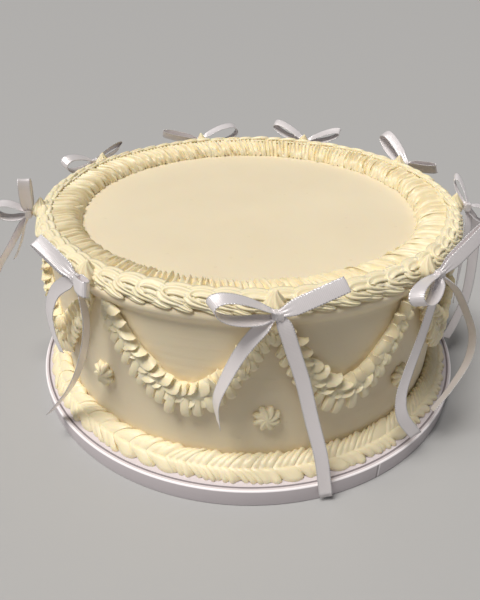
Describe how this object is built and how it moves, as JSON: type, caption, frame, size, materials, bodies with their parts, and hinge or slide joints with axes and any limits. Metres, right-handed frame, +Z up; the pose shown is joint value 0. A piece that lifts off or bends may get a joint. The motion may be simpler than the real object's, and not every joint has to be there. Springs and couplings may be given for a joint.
{
  "type": "one-tier wedding cake",
  "caption": "Round one-tier wedding cake in pale buttercream on its cake drum, with piped borders, wall swags, drop stars and satin ribbon bows.",
  "frame": {"origin": "middle of the flat underside of the cake drum", "axes": "+Z up through the middle of the cake; -Y towards the front, where the longest ribbon tail hangs"},
  "size_m": [0.3434, 0.3122, 0.1461],
  "materials": {
    "smooth_icing": "smooth pale ivory buttercream, satin, with faint spatula marks",
    "piped_icing": "piped pale ivory buttercream, ridged, soft satin",
    "satin_ribbon": "white double-face satin with fine crosswise ribs and beaded edges",
    "drum_paper": "white embossed paper over board, slightly glossy"
  },
  "bodies": {
    "root": {"cake_drum": "drum_paper", "iced_cake": "smooth_icing", "base_border": "piped_icing", "top_outer_border": "piped_icing", "top_inner_border": "piped_icing", "swag_1": "piped_icing", "swag_2": "piped_icing", "swag_3": "piped_icing", "swag_4": "piped_icing", "swag_5": "piped_icing", "swag_6": "piped_icing", "swag_7": "piped_icing", "swag_8": "piped_icing", "swag_9": "piped_icing", "drop_star_1": "piped_icing", "drop_star_2": "piped_icing", "drop_star_3": "piped_icing", "drop_star_4": "piped_icing", "drop_star_5": "piped_icing", "drop_star_6": "piped_icing", "drop_star_7": "piped_icing", "drop_star_8": "piped_icing", "drop_star_9": "piped_icing", "junction_peak_1": "piped_icing", "junction_peak_2": "piped_icing", "junction_peak_3": "piped_icing", "junction_peak_4": "piped_icing", "junction_peak_5": "piped_icing", "junction_peak_6": "piped_icing", "junction_peak_7": "piped_icing", "junction_peak_8": "piped_icing", "junction_peak_9": "piped_icing", "bow_1": "satin_ribbon", "bow_2": "satin_ribbon", "bow_3": "satin_ribbon", "bow_4": "satin_ribbon", "bow_5": "satin_ribbon", "bow_6": "satin_ribbon", "bow_7": "satin_ribbon", "bow_8": "satin_ribbon", "bow_9": "satin_ribbon"}
  },
  "joints": []
}
